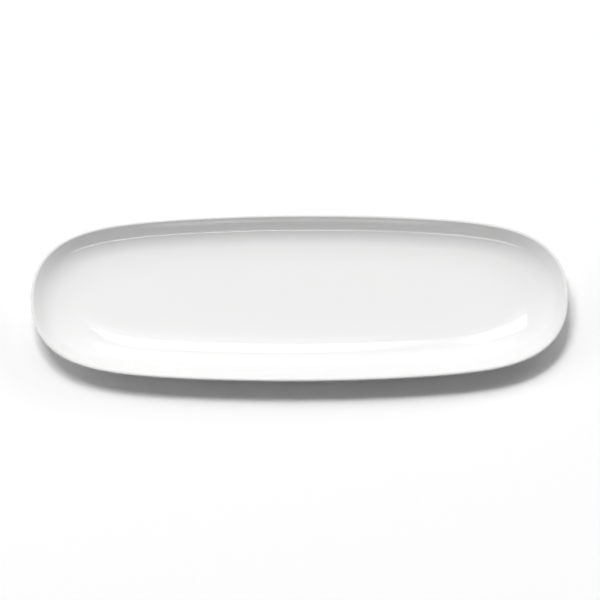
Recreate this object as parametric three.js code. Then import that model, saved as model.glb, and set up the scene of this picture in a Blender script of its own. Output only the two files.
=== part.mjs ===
// Long oval serving plate in glazed porcelain: one pressed body on a foot ring, with two glass skins fired on.
// Millimetres, +Z up, +X along the plate. The origin is on the table, under the middle of the plate.

import * as THREE from 'three';
import { mergeVertices } from 'three/addons/utils/BufferGeometryUtils.js';

// Overall size of the glazed plate
const PLATE_LENGTH = 370;
const PLATE_WIDTH = 121;
const PLATE_HEIGHT = 19;

// Plan outline: the long sides bow, so that at the very ends they would lie SIDE_BOW nearer the middle line.
// END_FULLNESS says how squarely the ends close along the plate, and END_ROUNDNESS across it, where 2 is an ellipse.
const SIDE_BOW = 11.8;
const END_FULLNESS = 8.4;
const END_ROUNDNESS = 2.2;

// Wall and well of the porcelain
const LIP_OUTER_RADIUS = 0.6;
const LIP_FLAT = 0.65;
const LIP_INNER_RADIUS = 0.9;
const WALL_SLOPE = THREE.MathUtils.degToRad(50);
const COVE_RADIUS = 21;
const SWEEP_RADIUS = 100;
const SWEEP_TURN = THREE.MathUtils.degToRad(10);
const FLOOR_THICKNESS = 2.6;
const FLOOR_DISH = 0.2;

// Outside of the wall, and the foot ring under it
const HEEL_RADIUS = 28;
const FOOT_LEDGE = 1.5;
const FOOT_WIDTH = 4.5;
const FOOT_HEIGHT = 2;
const FOOT_EDGE_RADIUS = 0.8;

// Glaze, and the height on the foot's sides where it was wiped off
const GLAZE_THICKNESS = 0.3;
const GLAZE_LINE = 1.1;

// Fineness of the facets: steps round the plan, a multiple of 4, and steps along each part of the section
const PLAN_STEPS = 72;
const SWEEP_STEPS = 3;
const COVE_STEPS = 5;
const LIP_INNER_STEPS = 3;
const LIP_OUTER_STEPS = 5;
const HEEL_STEPS = 5;
const FOOT_EDGE_STEPS = 3;
const FLOOR_RINGS = 3;

// The section is drawn in (inset, height): inset is measured inwards from the widest outline of the glazed plate.
const point = (inset, height) => new THREE.Vector2(inset, height);
const UP = Math.PI / 2;
const DOWN = -UP;

// Points of a round stretch of the section, from one angle to another, with both ends.
function arcPoints(centre, radius, startAngle, endAngle, steps) {
  const clockwise = endAngle < startAngle;
  const arc = new THREE.EllipseCurve(centre.x, centre.y, radius, radius, startAngle, endAngle, clockwise);
  return arc.getPoints(steps);
}

// Circle that rounds the corner between a level line and the wall above it. The corner lies where the wall line,
// from `top` on the lip, meets the level. The radius is limited by the wall that it runs into.
function circleAtWallFoot(top, level, wantedRadius) {
  const wallLength = (top.y - level) / Math.sin(WALL_SLOPE);
  const cornerInset = top.x + wallLength * Math.cos(WALL_SLOPE);
  const radius = Math.min(wantedRadius, wallLength / Math.tan(WALL_SLOPE / 2));
  const centre = point(cornerInset + radius * Math.tan(WALL_SLOPE / 2), level + radius);
  return { centre, radius };
}

// Side of the well, from the edge of its floor to the wall: a long shallow sweep that tightens into the cove.
function wellSide(top) {
  const excess = Math.max(SWEEP_RADIUS - COVE_RADIUS, 0);
  const lift = excess * (1 - Math.cos(SWEEP_TURN));
  const cove = circleAtWallFoot(top, FOOT_HEIGHT + FLOOR_THICKNESS + FLOOR_DISH + lift, COVE_RADIUS);
  const sweepRadius = cove.radius + excess;
  const sweepCentre = point(
    cove.centre.x + excess * Math.sin(SWEEP_TURN),
    cove.centre.y + excess * Math.cos(SWEEP_TURN),
  );
  const joint = DOWN - SWEEP_TURN;
  return [
    ...arcPoints(sweepCentre, sweepRadius, DOWN, joint, SWEEP_STEPS),
    ...arcPoints(cove.centre, cove.radius, joint, DOWN - WALL_SLOPE, COVE_STEPS).slice(1),
  ];
}

// Lip, from the inner wall to the outer one: a soft inner edge, a narrow flat on top, and a crisper outer edge.
function lipRun() {
  const top = PLATE_HEIGHT - GLAZE_THICKNESS;
  const outerCentre = point(GLAZE_THICKNESS + LIP_OUTER_RADIUS, top - LIP_OUTER_RADIUS);
  const innerCentre = point(outerCentre.x + LIP_FLAT, top - LIP_INNER_RADIUS);
  return [
    ...arcPoints(innerCentre, LIP_INNER_RADIUS, UP - WALL_SLOPE, UP, LIP_INNER_STEPS),
    ...arcPoints(outerCentre, LIP_OUTER_RADIUS, UP, UP + Math.PI - WALL_SLOPE, LIP_OUTER_STEPS),
  ];
}

// Section of the porcelain, as runs of points that follow its surface from the well to the underside
function porcelainSection() {
  const lip = lipRun();
  const well = wellSide(lip[0]);
  const heelCircle = circleAtWallFoot(lip[lip.length - 1], FOOT_HEIGHT, HEEL_RADIUS);
  const heel = arcPoints(heelCircle.centre, heelCircle.radius, DOWN - WALL_SLOPE, DOWN, HEEL_STEPS);

  const footOuter = heel[HEEL_STEPS].x + FOOT_LEDGE;
  const footInner = footOuter + FOOT_WIDTH;
  const outerEdgeCentre = point(footOuter + FOOT_EDGE_RADIUS, FOOT_EDGE_RADIUS);
  const innerEdgeCentre = point(footInner - FOOT_EDGE_RADIUS, FOOT_EDGE_RADIUS);

  return {
    glazedOutside: [...well, ...lip, ...heel, point(footOuter, FOOT_HEIGHT), point(footOuter, GLAZE_LINE)],
    bareFoot: [
      ...arcPoints(outerEdgeCentre, FOOT_EDGE_RADIUS, -Math.PI, DOWN, FOOT_EDGE_STEPS),
      ...arcPoints(innerEdgeCentre, FOOT_EDGE_RADIUS, DOWN, 0, FOOT_EDGE_STEPS),
    ],
    glazedBase: [point(footInner, GLAZE_LINE), point(footInner, FOOT_HEIGHT)],
    floorEdge: well[0],
  };
}

// The same run of section, moved off the surface by a thickness, square to it. `before` and `after` are the
// directions in which the surface goes on past the two ends.
function raised(run, thickness, before, after) {
  return run.map((here, index) => {
    const arriving = index === 0 ? before : here.clone().sub(run[index - 1]).normalize();
    const leaving = index === run.length - 1 ? after : run[index + 1].clone().sub(here).normalize();
    const miter = arriving.clone().add(leaving).divideScalar(1 + arriving.dot(leaving));
    return point(here.x + thickness * miter.y, here.y - thickness * miter.x);
  });
}

// One ring of the plate, at a point of the section: the outline drawn in by the inset, at that height.
// `share` draws the ring in further, towards the middle of the plate.
function planRing({ x: inset, y: height }, share = 1) {
  const quarter = PLAN_STEPS / 4;
  return Array.from({ length: PLAN_STEPS }, (_, step) => {
    const onCrossAxis = step % (2 * quarter) === quarter;
    const onLongAxis = step % (2 * quarter) === 0;
    const angle = (2 * Math.PI * step) / PLAN_STEPS;
    const along = onCrossAxis ? 0 : Math.cos(angle);
    const x = along * (PLATE_LENGTH / 2 - inset);
    const bowedSide = PLATE_WIDTH / 2 - inset - SIDE_BOW * (x / (PLATE_LENGTH / 2)) ** 2;
    const closing = onLongAxis ? 0 : (1 - Math.abs(along) ** END_FULLNESS) ** (1 / END_ROUNDNESS);
    const y = Math.sign(Math.sin(angle)) * bowedSide * closing;
    return new THREE.Vector3(share * x, share * y, height);
  });
}

// Rings of the well's floor, from its middle out to the ring inside its edge, sunk by the dish
function floorRings(edge) {
  return Array.from({ length: FLOOR_RINGS }, (_, index) => {
    const share = index / FLOOR_RINGS;
    const height = edge.y - FLOOR_DISH * (1 - share ** 2);
    return planRing(point(edge.x, height), share);
  });
}

// The middle of a level underside, as a ring drawn in to a point
const middleOf = (edge) => planRing(edge, 0);

// Triangles of the band between each ring and the next. The diagonals mirror from quarter to quarter, so that
// the facets are as symmetric as the plate, and two skins through the same rings share every facet.
function bandTriangles(rings, facingBack = false) {
  const corners = [];
  const facet = (a, b, c) => corners.push(...(facingBack ? [a, c, b] : [a, b, c]));
  for (let row = 0; row + 1 < rings.length; row += 1) {
    for (let step = 0; step < PLAN_STEPS; step += 1) {
      const next = (step + 1) % PLAN_STEPS;
      const [a, b] = [rings[row][step], rings[row][next]];
      const [d, c] = [rings[row + 1][step], rings[row + 1][next]];
      const oddQuarter = Math.floor((4 * step) / PLAN_STEPS) % 2 === 1;
      if (oddQuarter) {
        facet(a, d, b);
        facet(b, d, c);
      } else {
        facet(a, d, c);
        facet(a, c, b);
      }
    }
  }
  return corners;
}

// Closed solid from triangle corners, without the empty triangles where a ring is drawn in to a point
function solidFrom(corners) {
  const faces = [];
  for (let first = 0; first < corners.length; first += 3) {
    const face = corners.slice(first, first + 3);
    const empty = face[0].equals(face[1]) || face[1].equals(face[2]) || face[2].equals(face[0]);
    if (!empty) faces.push(...face);
  }
  const geometry = mergeVertices(new THREE.BufferGeometry().setFromPoints(faces));
  geometry.computeVertexNormals();
  return geometry;
}

// A skin of even thickness: its bonded face follows the body's own rings, its free face lies outside them, and
// both ends are closed.
function skinSolid(bonded, free) {
  const start = [bonded[0], free[0]];
  const end = [free[free.length - 1], bonded[bonded.length - 1]];
  const edges = [...bandTriangles(start), ...bandTriangles(end)];
  return solidFrom([...bandTriangles(free), ...edges, ...bandTriangles(bonded, true)]);
}

function namedMesh(name, geometry, material) {
  const mesh = new THREE.Mesh(geometry, material);
  mesh.name = name;
  return mesh;
}

const section = porcelainSection();
const outwards = point(-1, 0);
const inwards = point(1, 0);
const downwards = point(0, -1);
const upwards = point(0, 1);

// Rings of the body's surface, from the middle of the well, over the lip and the foot, to the middle underneath
const floor = floorRings(section.floorEdge);
const outside = section.glazedOutside.map((place) => planRing(place));
const bareFoot = section.bareFoot.map((place) => planRing(place));
const base = section.glazedBase.map((place) => planRing(place));
const underside = middleOf(section.glazedBase[1]);

// The same surface on top of the glaze
const coatRun = raised(section.glazedOutside, GLAZE_THICKNESS, outwards, downwards);
const coatFloor = floorRings(coatRun[0]);
const coatOutside = coatRun.map((place) => planRing(place));
const baseRun = raised(section.glazedBase, GLAZE_THICKNESS, upwards, inwards);
const coatBase = baseRun.map((place) => planRing(place));
const coatUnderside = middleOf(baseRun[1]);

const bareMaterial = new THREE.MeshStandardMaterial({ color: 0xefe9dd, roughness: 0.75, metalness: 0 });
const glazeMaterial = new THREE.MeshStandardMaterial({ color: 0xf7f7f5, roughness: 0.08, metalness: 0 });

const plate = new THREE.Group();
plate.add(
  namedMesh(
    'porcelain_body',
    solidFrom(bandTriangles([...floor, ...outside, ...bareFoot, ...base, underside])),
    bareMaterial,
  ),
  namedMesh('glaze_coat', skinSolid([...floor, ...outside], [...coatFloor, ...coatOutside]), glazeMaterial),
  namedMesh(
    'base_glaze',
    skinSolid([...base, underside], [...coatBase, coatUnderside]),
    glazeMaterial.clone(),
  ),
);

export default plate;
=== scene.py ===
"""Looks of a long oval serving plate in white glazed porcelain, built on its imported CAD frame.

The plate is three pieces, as the real one is: a porcelain body that shows only at the bare foot ring, a glaze
coat over the well, the lip and the outside wall, and a second skin of glaze under the base.
Metres, +Z up, +X along the plate, and the origin on the table under the middle of the plate.
"""

import logging
import math
from dataclasses import dataclass, field
from enum import Enum

import bmesh
import bpy
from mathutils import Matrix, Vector


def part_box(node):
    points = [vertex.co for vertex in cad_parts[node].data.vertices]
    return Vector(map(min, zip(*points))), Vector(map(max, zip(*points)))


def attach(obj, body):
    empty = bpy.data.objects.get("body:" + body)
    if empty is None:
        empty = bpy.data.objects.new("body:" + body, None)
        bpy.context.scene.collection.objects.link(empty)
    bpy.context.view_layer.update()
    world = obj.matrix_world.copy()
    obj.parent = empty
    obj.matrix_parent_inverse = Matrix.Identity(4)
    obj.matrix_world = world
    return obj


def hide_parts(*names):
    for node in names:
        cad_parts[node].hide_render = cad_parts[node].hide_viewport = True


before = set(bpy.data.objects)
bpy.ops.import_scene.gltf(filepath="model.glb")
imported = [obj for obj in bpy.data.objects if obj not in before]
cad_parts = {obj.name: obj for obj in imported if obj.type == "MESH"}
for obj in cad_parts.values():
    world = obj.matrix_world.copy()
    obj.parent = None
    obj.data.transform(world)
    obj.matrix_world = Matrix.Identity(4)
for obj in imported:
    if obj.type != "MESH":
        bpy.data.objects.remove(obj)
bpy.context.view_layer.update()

LOG = logging.getLogger("oval_plate")
BODY = "root"
MM = 0.001
WHITE = (1.0, 1.0, 1.0, 1.0)
RIGHT_ANGLE = math.pi / 2
# Vertex layer that keeps where round the plate each point of a ring lies.
TURN_LAYER = "turn"
# Where the middle of the picture lies, from the middle of the plate.
PICTURE_MIDDLE = (0.4 * MM, -2.1 * MM)
# Noise of a fired surface: how finely its wave, grain and cloud break up, and the clouds per metre.
WAVE_DETAIL = 1.0
GRAIN_DETAIL = 2.0
CLOUD_DETAIL = 3.0
CLOUD_SCALE = 9.0

SectionPoint = tuple[float, float]
Colour = tuple[float, float, float]


class Slot(Enum):
    """Material slots of the record."""

    BARE = "bare_porcelain"
    GLAZE = "white_glaze"


class Reach(Enum):
    """What a light does."""

    LIGHT_AND_GLOSS = "light and gloss"
    LIGHT = "light"
    GLOSS = "gloss"


class Side(Enum):
    """Which way the first face of a sheet looks."""

    UP = 1.0
    DOWN = -1.0


@dataclass(frozen=True)
class PlanOutline:
    """Plan of the plate: two bowed long sides with full, rounded ends.

    Attributes:
        half_length: Half of the plate's length.
        half_width: Half of the plate's width at its middle.
        bow: How much nearer each long side would come to the middle line at the plate's very end.
        fullness: How full the ends are along the plate. A larger number is squarer.
        roundness: How the ends close across the plate, where 2 is an ellipse.
    """

    half_length: float
    half_width: float
    bow: float = 11.8 * MM
    fullness: float = 8.4
    roundness: float = 2.2

    def on_ring(self, turn: float, inset: float, share: float = 1.0) -> tuple[float, float]:
        """Point of the ring that lies inset from the outline.

        Args:
            turn: Where round the ring, from 0 to a full turn, in radians.
            inset: Distance of the ring from the outline.
            share: How far the ring is drawn in towards the middle of the plate.

        Returns:
            The point's x and y.
        """
        along = math.cos(turn)
        x = (self.half_length - inset) * along
        side = self.half_width - inset - self.bow * (x / self.half_length) ** 2
        closing = (1.0 - min(abs(along), 1.0) ** self.fullness) ** (1.0 / self.roundness)
        return share * x, share * math.copysign(side * closing, math.sin(turn))


@dataclass(frozen=True)
class PlateSection:
    """Section of the porcelain, in inset from the plate's widest outline and height over the table.

    Attributes:
        height: Height of the glazed plate.
        lip_outer: Radius on the outer edge of the lip.
        lip_flat: Width of the level top between the lip's two rounds.
        lip_inner: Radius on the inner edge of the lip.
        slope: Slope of the wall, in radians.
        cove: Radius between the well's floor and its wall.
        sweep: Larger radius that leads from the floor into the cove.
        sweep_turn: Slope at which the sweep passes into the cove, in radians.
        floor: Thickness of the floor at its middle.
        dish: How far the middle of the floor sinks below its edge.
        heel: Radius between the outside wall and the underside.
        ledge: Flat ledge between the heel and the foot ring.
        foot_width: Width of the foot ring.
        foot_height: Height of the foot ring.
        foot_edge: Radius on the foot ring's two edges.
        glaze: Thickness of the glaze.
        glaze_line: Height on the foot ring's sides where the glaze stops.
        lip_inner_steps: Steps of the lip's inner round.
        lip_outer_steps: Steps of the lip's outer round.
        sweep_steps: Steps of the sweep.
        cove_steps: Steps of the cove.
        heel_steps: Steps of the heel.
        foot_steps: Steps of each edge of the foot ring.
    """

    height: float
    lip_outer: float = 0.6 * MM
    lip_flat: float = 0.65 * MM
    lip_inner: float = 0.9 * MM
    slope: float = math.radians(50.0)
    cove: float = 21.0 * MM
    sweep: float = 100.0 * MM
    sweep_turn: float = math.radians(10.0)
    floor: float = 2.6 * MM
    dish: float = 0.2 * MM
    heel: float = 28.0 * MM
    ledge: float = 1.5 * MM
    foot_width: float = 4.5 * MM
    foot_height: float = 2.0 * MM
    foot_edge: float = 0.8 * MM
    glaze: float = 0.3 * MM
    glaze_line: float = 1.1 * MM
    lip_inner_steps: int = 4
    lip_outer_steps: int = 7
    sweep_steps: int = 4
    cove_steps: int = 6
    heel_steps: int = 5
    foot_steps: int = 4

    @staticmethod
    def arc(
        centre: SectionPoint, radius: float, start: float, turn: float, steps: int
    ) -> list[SectionPoint]:
        """Points of a round stretch of the section.

        Args:
            centre: Middle of the arc.
            radius: Radius of the arc.
            start: Angle of the first point.
            turn: Angle from the first point to the last.
            steps: Number of steps between them.

        Returns:
            The points, with both ends.
        """
        angles = [start + turn * step / steps for step in range(steps + 1)]
        return [(centre[0] + radius * math.cos(a), centre[1] + radius * math.sin(a)) for a in angles]

    def lip_arc(self) -> list[SectionPoint]:
        """Rounds the lip, with a level top between its two edges.

        Returns:
            Points from the lip's inner side, over the top, to its outer side.
        """
        top = self.height - self.glaze
        outer = (self.glaze + self.lip_outer, top - self.lip_outer)
        inner = (outer[0] + self.lip_flat, top - self.lip_inner)
        inside = self.arc(inner, self.lip_inner, RIGHT_ANGLE - self.slope, self.slope, self.lip_inner_steps)
        outside = self.arc(outer, self.lip_outer, RIGHT_ANGLE, math.pi - self.slope, self.lip_outer_steps)
        return [*inside, *outside]

    def heel_arc(self, top: SectionPoint) -> list[SectionPoint]:
        """Rounds the heel between the underside and the outside wall that rises from it to the lip.

        Args:
            top: Where the wall meets the lip.

        Returns:
            Points from the underside up to the wall.
        """
        level = self.foot_height
        corner = top[0] + (top[1] - level) / math.tan(self.slope)
        centre = (corner + self.heel * math.tan(self.slope / 2), level + self.heel)
        return self.arc(centre, self.heel, -RIGHT_ANGLE, -self.slope, self.heel_steps)

    def well_side(self, top: SectionPoint) -> list[SectionPoint]:
        """Draws the side of the well, from the floor's edge through the sweep and the cove up to the lip.

        Args:
            top: Where the wall meets the lip.

        Returns:
            Points from the floor's edge up to the wall.
        """
        excess = self.sweep - self.cove
        level = self.foot_height + self.floor + self.dish + excess * (1.0 - math.cos(self.sweep_turn))
        corner = top[0] + (top[1] - level) / math.tan(self.slope)
        centre = (corner + self.cove * math.tan(self.slope / 2), level + self.cove)
        far_centre = (
            centre[0] + excess * math.sin(self.sweep_turn), centre[1] + excess * math.cos(self.sweep_turn)
        )
        sweep = self.arc(far_centre, self.sweep, -RIGHT_ANGLE, -self.sweep_turn, self.sweep_steps)
        start = -RIGHT_ANGLE - self.sweep_turn
        cove = self.arc(centre, self.cove, start, self.sweep_turn - self.slope, self.cove_steps)
        return [*sweep, *cove[1:]]

    def outside(self) -> list[SectionPoint]:
        """Draws the glazed run of the section.

        Returns:
            Points from the floor's edge, over the lip and down to the glaze line on the foot ring.
        """
        lip = self.lip_arc()
        side = self.well_side(lip[0])
        heel = self.heel_arc(lip[-1])[::-1]
        foot = heel[-1][0] + self.ledge
        return [*side, *lip, *heel, (foot, self.foot_height), (foot, self.glaze_line)]

    def bare_foot(self) -> list[SectionPoint]:
        """Draws the bare run of the section, round the standing face of the foot ring.

        Returns:
            Points from the foot ring's outer side, under it, to its inner side.
        """
        outer = self.outside()[-1][0]
        inner = outer + self.foot_width
        radius = self.foot_edge
        first = self.arc((outer + radius, radius), radius, -math.pi, RIGHT_ANGLE, self.foot_steps)
        second = self.arc((inner - radius, radius), radius, -RIGHT_ANGLE, RIGHT_ANGLE, self.foot_steps)
        return [*first, *second]

    def base(self) -> list[SectionPoint]:
        """Glazed run inside the foot ring, from the glaze line up to the underside."""
        inner = self.bare_foot()[-1][0]
        return [(inner, self.glaze_line), (inner, self.foot_height)]

    def raised(
        self, run: list[SectionPoint], before: SectionPoint, after: SectionPoint
    ) -> list[SectionPoint]:
        """Moves a run to the top of the glaze.

        Args:
            run: Points on the porcelain.
            before: Direction in which the surface reaches the first point.
            after: Direction in which the surface leaves the last point.

        Returns:
            The points, moved off the porcelain by the glaze's thickness.
        """
        steps = [Vector(b) - Vector(a) for a, b in zip(run, run[1:])]
        ways = [Vector(before), *[step.normalized() for step in steps], Vector(after)]
        moved = []
        for (inset, height), arriving, leaving in zip(run, ways, ways[1:]):
            miter = (arriving + leaving) / (1.0 + arriving.dot(leaving))
            moved.append((inset + self.glaze * miter.y, height - self.glaze * miter.x))
        return moved


@dataclass
class RingModel:
    """A sheet that is drawn out of one ring, ring by ring, along the plate's section.

    Attributes:
        name: Name of the finished piece.
        outline: Plan of the plate.
        first: Section point of the ring that the sheet starts from.
        side: Which way the sheet's first face looks.
        steps: Points round each ring of the cage.
        smoothing: Levels of subdivision of the finished piece.
        middle_share: How far the first ring is drawn in towards the middle of the plate.
        piece: The object that holds the sheet.
    """

    name: str
    outline: PlanOutline
    first: SectionPoint
    side: Side
    steps: int = 80
    smoothing: int = 2
    middle_share: float = 0.25
    piece: bpy.types.Object = field(init=False)

    def __post_init__(self) -> None:
        """Adds the first ring round the middle of the plate, fills it and leaves its edge selected."""
        bpy.ops.object.select_all(action="DESELECT")
        bpy.ops.mesh.primitive_circle_add(vertices=self.steps, radius=1.0, location=(0.0, 0.0, 0.0))
        self.piece = bpy.context.object
        self.piece.name = self.name
        bpy.ops.object.mode_set(mode="EDIT")
        bpy.ops.mesh.select_mode(type="VERT")
        bpy.ops.mesh.select_all(action="SELECT")
        mesh = bmesh.from_edit_mesh(self.piece.data)
        turn = mesh.verts.layers.float.new(TURN_LAYER)
        for vertex in mesh.verts:
            vertex[turn] = math.atan2(vertex.co.y, vertex.co.x)
        self.place_ring(self.first, self.middle_share)
        self.fill_ring()
        bpy.ops.mesh.select_all(action="SELECT")
        bpy.ops.mesh.region_to_loop()

    def place_ring(self, place: SectionPoint, share: float) -> None:
        """Lays the selected ring on the outline.

        Args:
            place: Inset and height of the ring.
            share: How far the ring is drawn in towards the middle of the plate.
        """
        mesh = bmesh.from_edit_mesh(self.piece.data)
        turn = mesh.verts.layers.float[TURN_LAYER]
        inset, height = place
        for vertex in mesh.verts:
            if vertex.select:
                vertex.co = (*self.outline.on_ring(vertex[turn], inset, share), height)
        bmesh.update_edit_mesh(self.piece.data)

    def fill_ring(self) -> None:
        """Fills the selected ring with a grid of faces."""
        bpy.ops.mesh.fill_grid(span=self.steps // 4)

    def draw_to(self, place: SectionPoint, share: float = 1.0) -> None:
        """Draws the open edge out to the next ring.

        Args:
            place: Inset and height of the next ring.
            share: How far the ring is drawn in towards the middle of the plate.
        """
        bpy.ops.mesh.extrude_region_move()
        self.place_ring(place, share)

    def draw_along(self, run: list[SectionPoint]) -> None:
        """Draws the open edge out along a run of the section."""
        for place in run:
            self.draw_to(place)

    def finish(self, thickness: float = 0.0) -> bpy.types.Object:
        """Turns the faces outwards, gives the sheet its thickness and smooths it.

        Args:
            thickness: Thickness of a skin, or 0 for a closed body.

        Returns:
            The finished piece.
        """
        bpy.ops.mesh.select_all(action="SELECT")
        bpy.ops.mesh.normals_make_consistent(inside=False)
        bpy.ops.object.mode_set(mode="OBJECT")
        if self.middle_face().normal.z * self.side.value < 0.0:
            bpy.ops.object.mode_set(mode="EDIT")
            bpy.ops.mesh.flip_normals()
            bpy.ops.object.mode_set(mode="OBJECT")
        marks = self.piece.data.attributes
        marks.remove(marks[TURN_LAYER])
        if thickness > 0.0:
            self.apply("SOLIDIFY", thickness=thickness, offset=-1.0, use_even_offset=True)
        self.apply("SUBSURF", levels=self.smoothing, render_levels=self.smoothing)
        bpy.ops.object.shade_smooth()
        return self.piece

    def middle_face(self) -> bpy.types.MeshPolygon:
        """Finds the face of the first ring's filling that lies nearest to the middle of the plate.

        Returns:
            The face.
        """
        level = self.first[1]
        faces = self.piece.data.polygons
        return min(faces, key=lambda face: face.center.xy.length + abs(face.center.z - level))

    def apply(self, kind: str, **settings: float) -> None:
        """Adds a modifier and applies it.

        Args:
            kind: Type of the modifier.
            **settings: Its settings.
        """
        modifier = self.piece.modifiers.new(kind.title(), kind)
        for setting, value in settings.items():
            setattr(modifier, setting, value)
        bpy.ops.object.modifier_apply(modifier=modifier.name)


class NodeDesk:
    """Adds and joins nodes of one tree."""

    def __init__(self, tree: bpy.types.NodeTree) -> None:
        """Clears the tree."""
        self.tree = tree
        tree.nodes.clear()

    def add(self, kind: str, **values: object) -> bpy.types.Node:
        """Adds a node and sets its options, or its input sockets where the name starts with a capital.

        Args:
            kind: Type of the node.
            **values: Options, and input sockets with _ for each space. A socket joins where it is one.

        Returns:
            The node.
        """
        node = self.tree.nodes.new(kind)
        for name, value in values.items():
            if not name[0].isupper():
                setattr(node, name, value)
        for name, value in values.items():
            if name[0].isupper():
                self.feed(node.inputs[name.replace("_", " ")], value)
        return node

    def feed(self, socket: bpy.types.NodeSocket, value: object) -> None:
        """Joins an output to the socket, or sets the socket's own value.

        Args:
            socket: Input socket of a node.
            value: Output socket of another node, or a plain value.
        """
        if isinstance(value, bpy.types.NodeSocket):
            self.tree.links.new(value, socket)
        else:
            socket.default_value = value


def ripple_group() -> bpy.types.NodeTree:
    """Makes the unevenness of a fired surface as a group.

    Returns:
        A group that takes a vector and two scales. It gives a soft wave, a fine grain and a slow cloud,
        each from 0 to 1.
    """
    group = bpy.data.node_groups.new("fired_surface", "ShaderNodeTree")
    group.interface.new_socket("Vector", in_out="INPUT", socket_type="NodeSocketVector")
    for name in ("Wave Scale", "Grain Scale"):
        group.interface.new_socket(name, in_out="INPUT", socket_type="NodeSocketFloat")
    for name in ("Wave", "Grain", "Cloud"):
        group.interface.new_socket(name, in_out="OUTPUT", socket_type="NodeSocketFloat")
    desk = NodeDesk(group)
    given = desk.add("NodeGroupInput").outputs
    place = given["Vector"]
    wave = desk.add("ShaderNodeTexNoise", Vector=place, Scale=given["Wave Scale"], Detail=WAVE_DETAIL)
    grain = desk.add("ShaderNodeTexNoise", Vector=place, Scale=given["Grain Scale"], Detail=GRAIN_DETAIL)
    cloud = desk.add("ShaderNodeTexNoise", Vector=place, Scale=CLOUD_SCALE, Detail=CLOUD_DETAIL)
    noises = {"Wave": wave, "Grain": grain, "Cloud": cloud}
    desk.add("NodeGroupOutput", **{name: noise.outputs["Fac"] for name, noise in noises.items()})
    return group


@dataclass(frozen=True)
class GlazeFinish:
    """Clear gloss glaze over white porcelain.

    Attributes:
        name: Name of the material.
        white: Colour of the glazed porcelain.
        pooled: Colour where the glaze lies a little thicker.
        thin_glaze_and_shade: Colour of the lip. It is partly the glaze running thinner there in the firing,
            and partly painted shade that greys the lip's top.
        lip_top: Height of the lip's top.
        lip_depth: How far down from there the lip takes that colour, which is thinner glaze and painted
            shade.
        smooth: Least roughness.
        dull: Most roughness.
        wave_size: Width of the slow waves in the glaze.
        wave_height: Height of those waves.
        peel_size: Width of the fine unevenness.
        peel_height: Height of the fine unevenness.
        refraction: Index of refraction.
    """

    lip_top: float
    name: str = "white_gloss_glaze"
    white: Colour = (0.83, 0.83, 0.825)
    pooled: Colour = (0.80, 0.805, 0.80)
    thin_glaze_and_shade: Colour = (0.795, 0.795, 0.79)
    lip_depth: float = 1.6 * MM
    smooth: float = 0.03
    dull: float = 0.06
    wave_size: float = 22.0 * MM
    wave_height: float = 0.012 * MM
    peel_size: float = 1.6 * MM
    peel_height: float = 0.0008 * MM
    refraction: float = 1.5

    def make(self, ripple: bpy.types.NodeTree) -> bpy.types.Material:
        """Builds the material.

        Args:
            ripple: The group that gives the unevenness of a fired surface.

        Returns:
            The material.
        """
        material = bpy.data.materials.new(self.name)
        material.use_nodes = True
        desk = NodeDesk(material.node_tree)
        place = desk.add("ShaderNodeTexCoord").outputs["Object"]
        fired = desk.add(
            "ShaderNodeGroup",
            node_tree=ripple,
            Vector=place,
            Wave_Scale=1.0 / self.wave_size,
            Grain_Scale=1.0 / self.peel_size,
        ).outputs
        colour = desk.add(
            "ShaderNodeMix",
            data_type="RGBA",
            Factor=fired["Cloud"],
            A=(*self.white, 1.0),
            B=(*self.pooled, 1.0),
        )
        height = desk.add("ShaderNodeSeparateXYZ", Vector=place).outputs["Z"]
        # Painted shade, with some of the glaze's thinner tone: the colour goes over to the lip colour towards
        # the lip's top.
        lip_foot = self.lip_top - self.lip_depth
        lip_glaze_and_shade_mask = desk.add("ShaderNodeMapRange", Value=height, From_Min=lip_foot, From_Max=self.lip_top)
        lip_glaze_and_shade_colour = desk.add(
            "ShaderNodeMix",
            data_type="RGBA",
            Factor=lip_glaze_and_shade_mask.outputs["Result"],
            A=colour.outputs["Result"],
            B=(*self.thin_glaze_and_shade, 1.0),
        )
        gloss = desk.add("ShaderNodeMapRange", Value=fired["Cloud"], To_Min=self.smooth, To_Max=self.dull)
        wave = desk.add("ShaderNodeBump", Height=fired["Wave"], Distance=self.wave_height)
        peel = desk.add(
            "ShaderNodeBump",
            Height=fired["Grain"],
            Distance=self.peel_height,
            Normal=wave.outputs["Normal"],
        )
        shader = desk.add(
            "ShaderNodeBsdfPrincipled",
            Base_Color=lip_glaze_and_shade_colour.outputs["Result"],
            Roughness=gloss.outputs["Result"],
            Normal=peel.outputs["Normal"],
            IOR=self.refraction,
        )
        desk.add("ShaderNodeOutputMaterial", Surface=shader.outputs["BSDF"])
        return material


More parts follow.
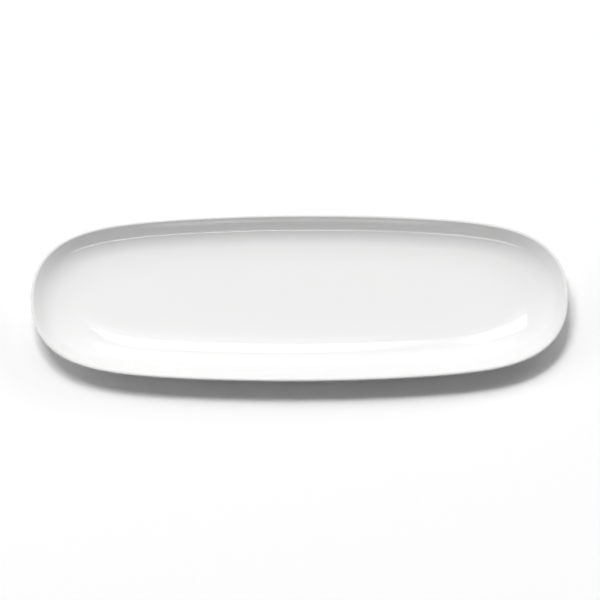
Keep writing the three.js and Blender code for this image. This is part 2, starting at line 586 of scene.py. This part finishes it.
@dataclass(frozen=True)
class BareFinish:
    """Unglazed porcelain, ground smooth where the plate stands.

    Attributes:
        name: Name of the material.
        clay: Colour of the fired porcelain.
        rubbed: Colour where the table has rubbed it.
        smooth: Least roughness.
        dull: Most roughness.
        patch_scale: Rubbed patches per metre.
        grain_size: Width of the grain.
        grain_height: Height of the grain.
    """

    name: str = "bare_fired_porcelain"
    clay: Colour = (0.74, 0.71, 0.65)
    rubbed: Colour = (0.62, 0.60, 0.56)
    smooth: float = 0.6
    dull: float = 0.85
    patch_scale: float = 60.0
    grain_size: float = 0.35 * MM
    grain_height: float = 0.01 * MM

    def make(self, ripple: bpy.types.NodeTree) -> bpy.types.Material:
        """Builds the material.

        Args:
            ripple: The group that gives the unevenness of a fired surface.

        Returns:
            The material.
        """
        material = bpy.data.materials.new(self.name)
        material.use_nodes = True
        desk = NodeDesk(material.node_tree)
        place = desk.add("ShaderNodeTexCoord").outputs["Object"]
        fired = desk.add(
            "ShaderNodeGroup",
            node_tree=ripple,
            Vector=place,
            Wave_Scale=self.patch_scale,
            Grain_Scale=1.0 / self.grain_size,
        ).outputs
        colour = desk.add(
            "ShaderNodeMix",
            data_type="RGBA",
            Factor=fired["Wave"],
            A=(*self.clay, 1.0),
            B=(*self.rubbed, 1.0),
        )
        dullness = desk.add("ShaderNodeMapRange", Value=fired["Grain"], To_Min=self.smooth, To_Max=self.dull)
        grain = desk.add("ShaderNodeBump", Height=fired["Grain"], Distance=self.grain_height)
        shader = desk.add(
            "ShaderNodeBsdfPrincipled",
            Base_Color=colour.outputs["Result"],
            Roughness=dullness.outputs["Result"],
            Normal=grain.outputs["Normal"],
        )
        desk.add("ShaderNodeOutputMaterial", Surface=shader.outputs["BSDF"])
        return material


@dataclass
class OvalPlate:
    """The plate: its body and its two skins of glaze.

    Attributes:
        outline: Plan of the plate.
        section: Section of the porcelain.
        floor_shares: How far in the rings of the well's floor lie.
    """

    outline: PlanOutline
    section: PlateSection
    floor_shares: tuple[float, ...] = (0.25, 0.62)

    def floor_places(self, edge: SectionPoint) -> list[SectionPoint]:
        """Section points of the floor's rings, sunk below its edge by the dish."""
        dish = self.section.dish
        return [(edge[0], edge[1] - dish * (1.0 - share**2)) for share in self.floor_shares]

    def well_and_outside(self, name: str, run: list[SectionPoint]) -> RingModel:
        """Draws the floor of the well and the run that follows it.

        Args:
            name: Name of the piece.
            run: Section from the floor's edge onwards.

        Returns:
            The sheet, still open at the end of the run.
        """
        places = self.floor_places(run[0])
        sheet = RingModel(name, self.outline, places[0], Side.UP)
        for place, share in zip(places[1:], self.floor_shares[1:]):
            sheet.draw_to(place, share)
        sheet.draw_along(run)
        return sheet

    def build_body(self) -> bpy.types.Object:
        """Models the porcelain, closed under the base.

        Returns:
            The body.
        """
        section = self.section
        run = [*section.outside(), *section.bare_foot(), *section.base()]
        sheet = self.well_and_outside("porcelain_body_model", run)
        for share in reversed(self.floor_shares):
            sheet.draw_to(run[-1], share)
        sheet.fill_ring()
        return sheet.finish()

    def build_coat(self) -> bpy.types.Object:
        """Models the glaze of the well, the lip and the outside wall.

        Returns:
            The coat.
        """
        section = self.section
        run = section.raised(section.outside(), before=(-1.0, 0.0), after=(0.0, -1.0))
        return self.well_and_outside("glaze_coat_model", run).finish(section.glaze)

    def build_base(self) -> bpy.types.Object:
        """Models the glaze inside the foot ring.

        Returns:
            The skin under the base.
        """
        section = self.section
        run = section.raised(section.base(), before=(0.0, 1.0), after=(1.0, 0.0))[::-1]
        sheet = RingModel("base_glaze_model", self.outline, run[0], Side.DOWN)
        for share in self.floor_shares[1:]:
            sheet.draw_to(run[0], share)
        sheet.draw_along(run)
        return sheet.finish(section.glaze)

    @staticmethod
    def dress(piece: bpy.types.Object, material: bpy.types.Material, slot: Slot, node: str) -> None:
        """Gives a piece its material, and puts it in the place of its CAD node.

        Args:
            piece: The finished piece.
            material: Its finish.
            slot: Material slot of the record that it belongs to. Not used.
            node: CAD node that it stands for.
        """
        piece.data.materials.clear()
        piece.data.materials.append(material)
        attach(piece, BODY)
        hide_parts(node)
        LOG.info("%s stands for %s with %d faces", piece.name, node, len(piece.data.polygons))

    def build(self) -> None:
        """Models and dresses the three pieces."""
        ripple = ripple_group()
        bare = BareFinish().make(ripple)
        glaze = GlazeFinish(lip_top=self.section.height).make(ripple)
        self.dress(self.build_body(), bare, Slot.BARE, "porcelain_body")
        self.dress(self.build_coat(), glaze, Slot.GLAZE, "glaze_coat")
        self.dress(self.build_base(), glaze, Slot.GLAZE, "base_glaze")


@dataclass(frozen=True)
class SoftLight:
    """A rectangular studio light that looks at the plate.

    Attributes:
        name: Name of the light.
        azimuth: Way to the light, from straight behind the plate towards the right, in degrees.
        elevation: Height of the light's middle over the table, in degrees.
        distance: Distance of the light from the plate.
        width: Size along the plate.
        depth: Size across.
        power: Power in watts.
        reach: Whether it lights the scene, shows in gloss, or does both.
    """

    name: str
    azimuth: float
    elevation: float
    distance: float
    width: float
    depth: float
    power: float
    reach: Reach

    def add(self, aim: Vector) -> None:
        """Adds the light, turned to the aim.

        Args:
            aim: Point that the light looks at.
        """
        lamp = bpy.data.lights.new(self.name, "AREA")
        lamp.shape = "RECTANGLE"
        lamp.size = self.width
        lamp.size_y = self.depth
        lamp.energy = self.power
        light = bpy.data.objects.new(self.name, lamp)
        bpy.context.scene.collection.objects.link(light)
        around = math.radians(self.azimuth)
        up = math.radians(self.elevation)
        away = Vector((math.sin(around) * math.cos(up), math.cos(around) * math.cos(up), math.sin(up)))
        light.location = aim + self.distance * away
        light.rotation_euler = away.to_track_quat("Z", "Y").to_euler()
        light.visible_glossy = self.reach is not Reach.LIGHT
        light.visible_diffuse = self.reach is not Reach.GLOSS


# Name, azimuth, elevation, distance, width, depth, power and reach. The key lights behind the plate come
# first, then the panels behind and beside it, and last the cards that show only as reflections in the glaze.
LIGHTS = (
    SoftLight("hot_strip", -7.3, 63.0, 10.0, 1.36, 1.15, 47.0, Reach.LIGHT_AND_GLOSS),
    SoftLight("key_box", -25.0, 64.0, 8.0, 3.2, 1.0, 296.0, Reach.LIGHT),
    SoftLight("key_low", -22.0, 55.0, 8.0, 3.4, 1.5, 116.0, Reach.LIGHT),
    SoftLight("key_middle", -2.0, 63.5, 8.0, 1.9, 1.3, 42.0, Reach.LIGHT),
    SoftLight("key_left", -47.0, 48.0, 8.0, 3.0, 1.5, 34.0, Reach.LIGHT),
    SoftLight("key_right", 38.0, 56.0, 8.0, 3.0, 1.4, 50.0, Reach.LIGHT),
    SoftLight("back_panel", 20.0, 45.0, 8.0, 3.0, 1.5, 22.0, Reach.LIGHT),
    SoftLight("left_back", -60.0, 30.0, 8.0, 3.0, 1.5, 22.0, Reach.LIGHT),
    SoftLight("left_panel", -85.0, 35.0, 8.0, 5.2, 2.6, 66.0, Reach.LIGHT),
    SoftLight("left_low", -88.0, 20.0, 8.0, 4.0, 2.0, 68.0, Reach.LIGHT),
    SoftLight("left_high", -90.0, 66.0, 8.0, 3.0, 1.5, 17.0, Reach.LIGHT),
    SoftLight("right_back", 47.0, 30.0, 8.0, 3.0, 1.5, 68.0, Reach.LIGHT),
    SoftLight("right_panel", 60.0, 18.0, 8.0, 3.0, 1.5, 46.0, Reach.LIGHT),
    SoftLight("right_low", 86.0, 20.0, 8.0, 4.0, 2.0, 70.0, Reach.LIGHT),
    SoftLight("glow_card", -7.2, 68.4, 10.0, 1.2, 0.72, 3.4, Reach.GLOSS),
    SoftLight("pane_card", -3.0, 44.0, 10.0, 2.4, 5.0, 52.0, Reach.GLOSS),
    SoftLight("low_line", -3.0, 37.5, 9.9, 3.0, 0.35, 20.0, Reach.GLOSS),
    SoftLight("front_line", 180.0, 29.8, 6.0, 8.0, 0.24, 50.0, Reach.GLOSS),
    SoftLight("front_card", 175.0, 12.0, 6.0, 3.4, 0.75, 5.3, Reach.GLOSS),
    SoftLight("front_low", 175.0, 6.95, 6.0, 3.4, 0.45, 20.0, Reach.GLOSS),
)


@dataclass
class Studio:
    """Pale floor, soft light from behind, and the camera.

    Attributes:
        aim: Point that the middle of the picture shows.
        elevation: Height of the camera over the table, in degrees.
        roll: Tilt of the picture, in degrees.
        distance: Distance of the camera.
        frame_width: Width of the picture at the aim.
        floor_size: Side of the floor.
        floor_tone: Grey of the floor in the light that it throws back.
        floor_seen: Grey of the floor as it shows in the picture and in gloss.
        fill: Strength of the backdrop's light.
    """

    aim: Vector
    elevation: float = 72.0
    roll: float = -0.33
    distance: float = 5.0
    frame_width: float = 0.4125
    floor_size: float = 6.0
    floor_tone: float = 0.8
    floor_seen: float = 0.98
    fill: float = 0.01

    def add_camera(self) -> None:
        """Adds the camera and makes it the scene's."""
        lens = bpy.data.cameras.new("camera")
        lens.lens = lens.sensor_width * self.distance / self.frame_width
        camera = bpy.data.objects.new("camera", lens)
        bpy.context.scene.collection.objects.link(camera)
        up = math.radians(self.elevation)
        back = Vector((0.0, -math.cos(up), math.sin(up)))
        camera.location = self.aim + self.distance * back
        camera.rotation_euler = back.to_track_quat("Z", "Y").to_euler()
        camera.rotation_euler.rotate_axis("Z", math.radians(self.roll))
        bpy.context.scene.camera = camera

    def add_floor(self) -> None:
        """Adds the floor that the plate stands on."""
        bpy.ops.object.select_all(action="DESELECT")
        bpy.ops.mesh.primitive_plane_add(size=self.floor_size, location=(0.0, 0.0, 0.0))
        floor = bpy.context.object
        floor.name = "floor"
        material = bpy.data.materials.new("pale_floor")
        material.use_nodes = True
        desk = NodeDesk(material.node_tree)
        colour = desk.add(
            "ShaderNodeMix",
            data_type="RGBA",
            Factor=self.seen_by_eye(desk),
            A=(self.floor_tone, self.floor_tone, self.floor_tone, 1.0),
            B=(self.floor_seen, self.floor_seen, self.floor_seen, 1.0),
        )
        shader = desk.add("ShaderNodeBsdfDiffuse", Color=colour.outputs["Result"])
        desk.add("ShaderNodeOutputMaterial", Surface=shader.outputs["BSDF"])
        floor.data.materials.append(material)

    @staticmethod
    def seen_by_eye(desk: NodeDesk) -> bpy.types.NodeSocket:
        """Masks the rays that show the background: straight from the camera, in gloss and through glass.

        Args:
            desk: Desk of the tree that needs the mask.

        Returns:
            Output that is 1 for those rays and 0 for all others.
        """
        path = desk.add("ShaderNodeLightPath").outputs
        either = desk.add("ShaderNodeMath", operation="MAXIMUM")
        desk.feed(either.inputs[0], path["Is Camera Ray"])
        desk.feed(either.inputs[1], path["Is Glossy Ray"])
        any_of = desk.add("ShaderNodeMath", operation="MAXIMUM")
        desk.feed(any_of.inputs[0], either.outputs[0])
        desk.feed(any_of.inputs[1], path["Is Transmission Ray"])
        return any_of.outputs[0]

    def add_world(self) -> None:
        """Sets a white backdrop that fills the shadows softly."""
        world = bpy.data.worlds.new("studio")
        bpy.context.scene.world = world
        world.use_nodes = True
        desk = NodeDesk(world.node_tree)
        level = desk.add("ShaderNodeMapRange", Value=self.seen_by_eye(desk), To_Min=self.fill, To_Max=1.0)
        sky = desk.add("ShaderNodeBackground", Color=WHITE, Strength=level.outputs["Result"])
        desk.add("ShaderNodeOutputWorld", Surface=sky.outputs["Background"])

    def build(self) -> None:
        """Adds the floor, the lights and the camera."""
        bpy.context.scene.view_settings.view_transform = "Standard"
        self.add_world()
        self.add_floor()
        for light in LIGHTS:
            light.add(self.aim)
        self.add_camera()


def main() -> None:
    """Builds the plate on the frame, and the studio round it."""
    logging.basicConfig(level=logging.INFO)
    low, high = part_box("glaze_coat")
    outline = PlanOutline(half_length=(high.x - low.x) / 2, half_width=(high.y - low.y) / 2)
    section = PlateSection(height=high.z)
    OvalPlate(outline, section).build()
    Studio(aim=Vector((*PICTURE_MIDDLE, high.z))).build()


if __name__ == "__main__":
    main()
